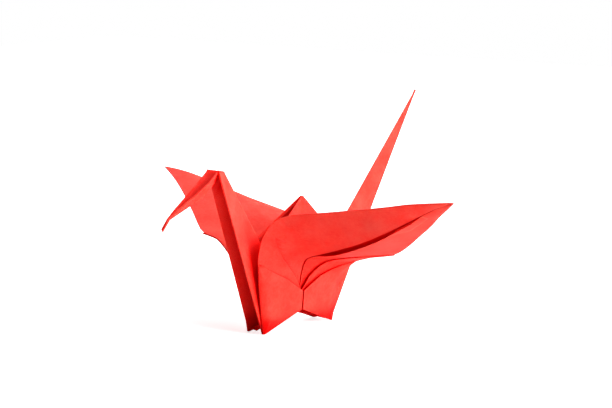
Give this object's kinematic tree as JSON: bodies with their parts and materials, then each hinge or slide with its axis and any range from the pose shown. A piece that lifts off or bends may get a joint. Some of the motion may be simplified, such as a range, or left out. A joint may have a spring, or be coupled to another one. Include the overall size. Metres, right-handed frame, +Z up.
{
  "type": "origami crane",
  "caption": "Red paper crane folded from a square sheet, with spread wings, a raised neck, a bent head and a pointed tail, standing on its folded points",
  "frame": {"origin": "on the ground, under the middle of the crane's width and length", "axes": "+X towards the beak, +Y towards the crane's left wing, +Z up from the ground it stands on"},
  "size_m": [0.1062, 0.1168, 0.0579],
  "materials": {
    "red_paper": "matt, dyed through"
  },
  "bodies": {
    "root": {"folded_sheet": "red_paper"}
  },
  "joints": []
}
